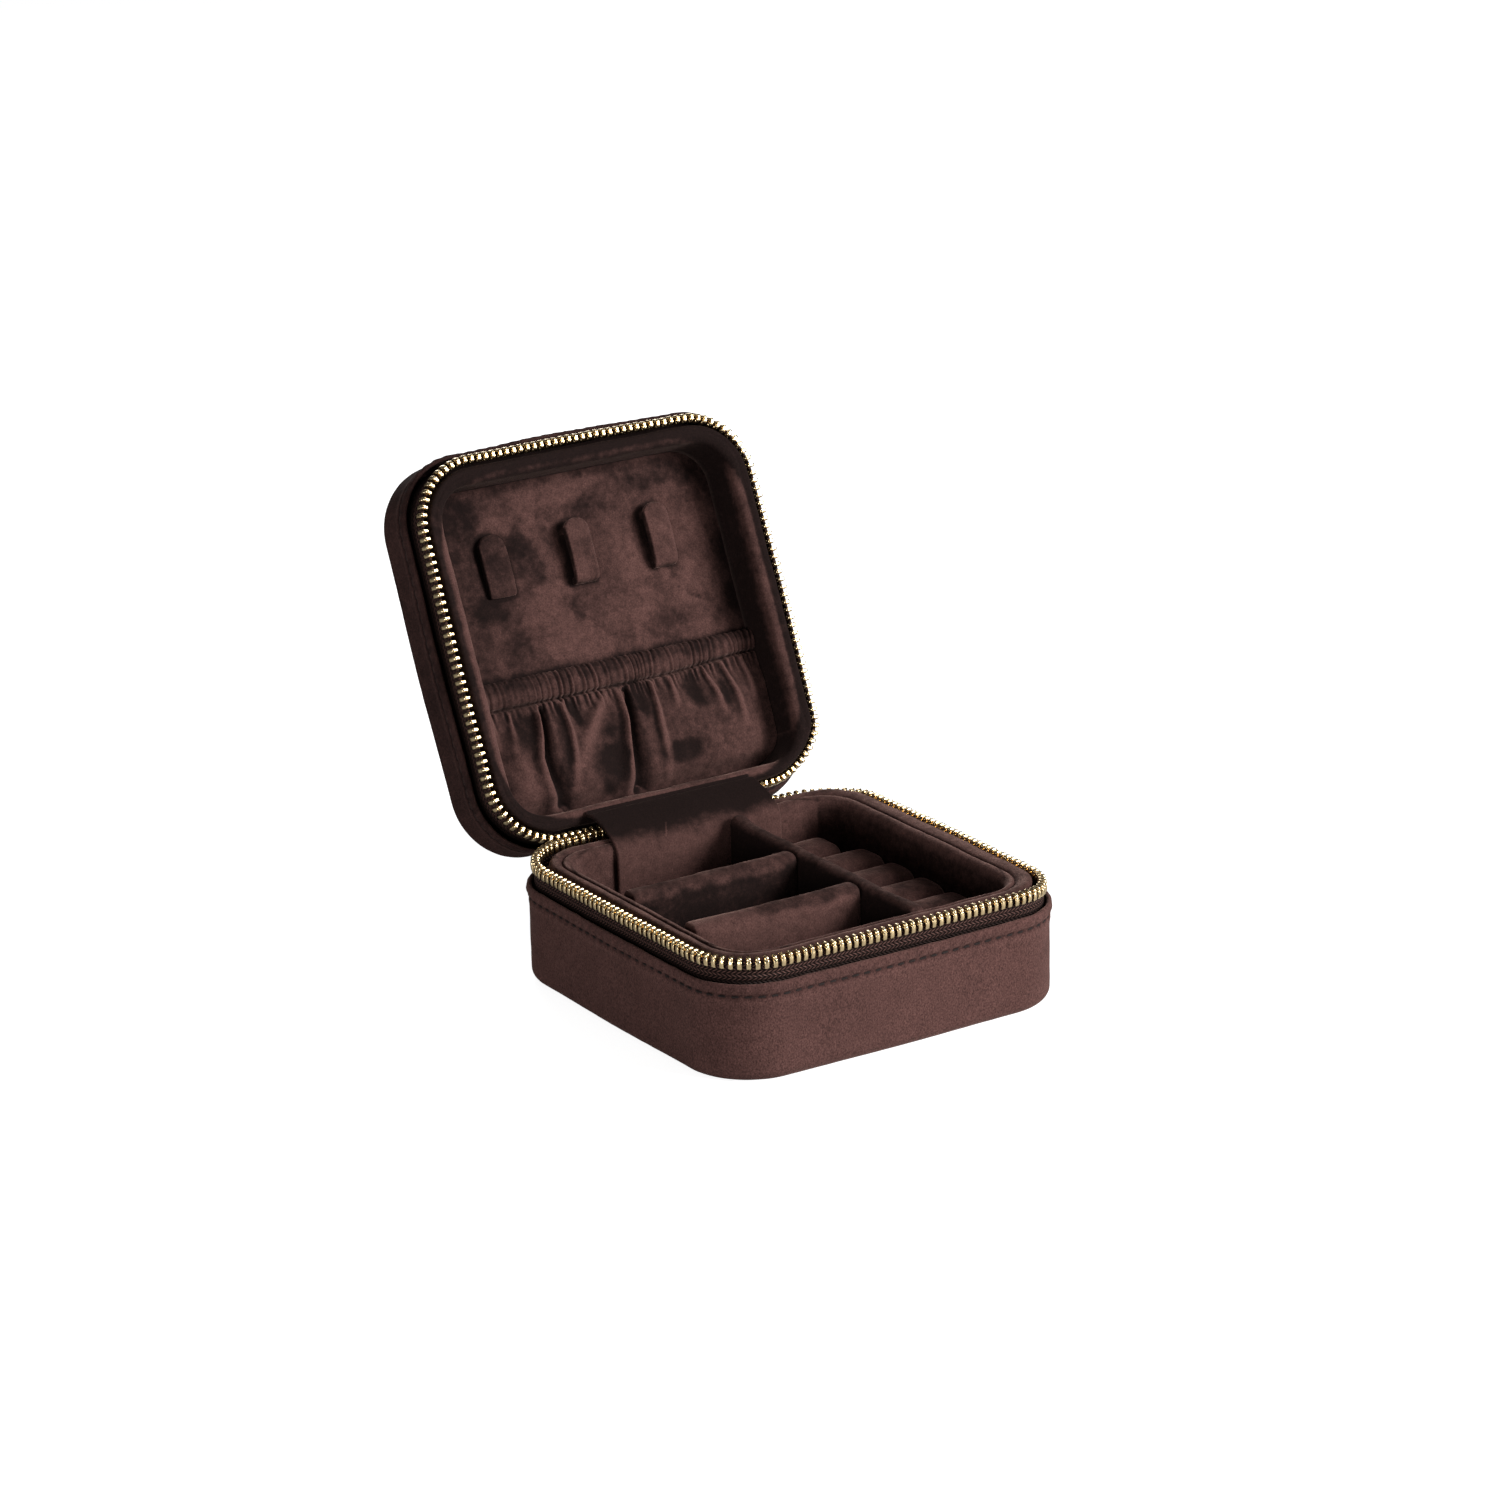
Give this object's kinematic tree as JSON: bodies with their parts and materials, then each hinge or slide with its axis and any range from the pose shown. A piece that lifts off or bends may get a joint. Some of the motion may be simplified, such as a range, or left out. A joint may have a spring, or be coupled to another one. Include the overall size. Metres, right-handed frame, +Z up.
{
  "type": "travel jewelry case",
  "caption": "Square zip-round velvet travel jewelry case, standing open, with padded compartments, ring rolls, snap tabs for necklaces and a gathered pocket in the lid.",
  "frame": {"origin": "centre of the base's underside, on the surface it stands on", "axes": "+X to the right seen from the front, +Y to the hinge, +Z up"},
  "size_m": [0.101, 0.16, 0.1178],
  "materials": {
    "velvet_outer": "dark brown short-pile velvet",
    "velvet_liner": "dark brown short-pile velvet over padding",
    "zip_tape": "dark brown woven tape",
    "gold_metal": "polished pale gold metal",
    "board": "plain greyboard, hidden"
  },
  "bodies": {
    "base": {"base_outer_cover": "velvet_outer", "base_bottom_board": "board", "base_wall_board": "board", "base_floor_pad": "velvet_liner", "base_liner_frame": "velvet_liner", "base_zip_tape": "zip_tape", "base_zip_chain": "gold_metal", "main_divider": "velvet_liner", "ring_bed": "board", "ring_roll_1": "velvet_liner", "ring_roll_2": "velvet_liner", "ring_roll_3": "velvet_liner", "ring_roll_4": "velvet_liner", "ring_roll_5": "velvet_liner", "ring_roll_6": "velvet_liner", "flap_base": "velvet_liner", "spine_base": "velvet_outer"},
    "lid": {"lid_outer_cover": "velvet_outer", "lid_top_board": "board", "lid_wall_board": "board", "lid_liner_frame": "velvet_liner", "lid_panel_pad": "velvet_liner", "lid_zip_tape": "zip_tape", "lid_zip_chain": "gold_metal", "pocket_panel": "velvet_liner", "pocket_hem": "velvet_liner", "flap_lid": "velvet_liner", "spine_lid": "velvet_outer", "snap_stud_left": "gold_metal", "snap_stud_middle": "gold_metal", "snap_stud_right": "gold_metal"},
    "zip_ends": {"zip_stop_left": "gold_metal", "zip_stop_right": "gold_metal"},
    "slider": {"zip_slider": "gold_metal"},
    "pull": {"zip_pull": "gold_metal"},
    "rear_divider": {"rear_cross_divider": "velvet_liner"},
    "front_divider": {"front_cross_divider": "velvet_liner"},
    "tab_left_body": {"tab_left": "velvet_liner", "snap_socket_left": "gold_metal"},
    "tab_middle_body": {"tab_middle": "velvet_liner", "snap_socket_middle": "gold_metal"},
    "tab_right_body": {"tab_right": "velvet_liner", "snap_socket_right": "gold_metal"}
  },
  "joints": [
    {"name": "lid_hinge", "type": "hinge", "parent": "base", "child": "lid", "pos_m": [0, 0.04883, 0.02961], "axis": [-1, 0, 0], "range_deg": [-114.84, 10]},
    {"name": "zip_end_tilt", "type": "hinge", "parent": "base", "child": "zip_ends", "pos_m": [0, 0.04883, 0.02961], "axis": [-1, 0, 0], "range_deg": [-57.5, 5.1]},
    {"name": "slider_run", "type": "slide", "parent": "zip_ends", "child": "slider", "axis": [1, 0, 0], "range_m": [0, 0.008]},
    {"name": "pull_swing", "type": "hinge", "parent": "slider", "child": "pull", "pos_m": [0.0198, 0.05072, 0.02877], "axis": [1, 0, 0], "range_deg": [0, 22]},
    {"name": "rear_divider_lift", "type": "slide", "parent": "base", "child": "rear_divider", "axis": [0, 0, 1], "range_m": [0, 0.026]},
    {"name": "front_divider_lift", "type": "slide", "parent": "base", "child": "front_divider", "axis": [0, 0, 1], "range_m": [0, 0.026]},
    {"name": "tab_left_open", "type": "hinge", "parent": "lid", "child": "tab_left_body", "pos_m": [-0.0245, 0.08855, 0.08068], "axis": [1, 0, 0], "range_deg": [0, 100]},
    {"name": "tab_middle_open", "type": "hinge", "parent": "lid", "child": "tab_middle_body", "pos_m": [-0.001, 0.08855, 0.08068], "axis": [1, 0, 0], "range_deg": [0, 100]},
    {"name": "tab_right_open", "type": "hinge", "parent": "lid", "child": "tab_right_body", "pos_m": [0.0225, 0.08855, 0.08068], "axis": [1, 0, 0], "range_deg": [0, 100]}
  ],
  "couplings": [
    {"joint": "zip_end_tilt", "follows": "lid_hinge", "ratio": 0.5}
  ]
}
